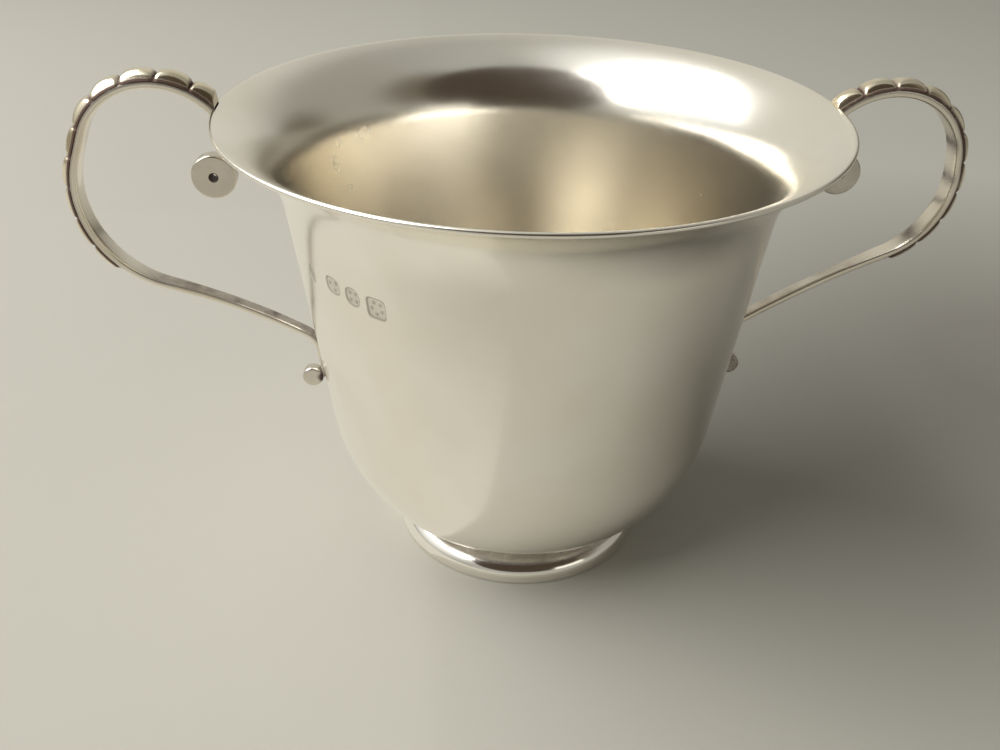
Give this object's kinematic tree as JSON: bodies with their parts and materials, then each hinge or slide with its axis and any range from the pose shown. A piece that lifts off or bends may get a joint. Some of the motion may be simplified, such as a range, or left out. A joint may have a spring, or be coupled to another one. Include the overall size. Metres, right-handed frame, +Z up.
{
  "type": "two-handled sugar bowl",
  "caption": "Deep flared bowl on a low foot ring, with a scalloped loop handle on each side, for serving sugar.",
  "frame": {"origin": "on the bowl's axis, in the plane that the foot ring stands on", "axes": "+Z up along the bowl's axis; +X towards one handle, -X towards the other; the handles lie in the XZ plane"},
  "size_m": [0.1349, 0.0904, 0.0783],
  "materials": {
    "bowl_silver": "satin silver, polished at the flare and rim",
    "foot_silver": "polished silver, dulled by handling",
    "handle_silver": "polished silver with brown tarnish in the angles",
    "lobe_silver": "polished silver, tarnished between the lobes"
  },
  "bodies": {
    "root": {"bowl_body": "bowl_silver", "foot_ring": "foot_silver", "handle_strap_right": "handle_silver", "scalloped_back_right": "lobe_silver", "upper_scroll_right": "handle_silver", "upper_roundel_right": "handle_silver", "lower_roundel_right": "handle_silver", "handle_strap_left": "handle_silver", "scalloped_back_left": "lobe_silver", "upper_scroll_left": "handle_silver", "upper_roundel_left": "handle_silver", "lower_roundel_left": "handle_silver"}
  },
  "joints": []
}
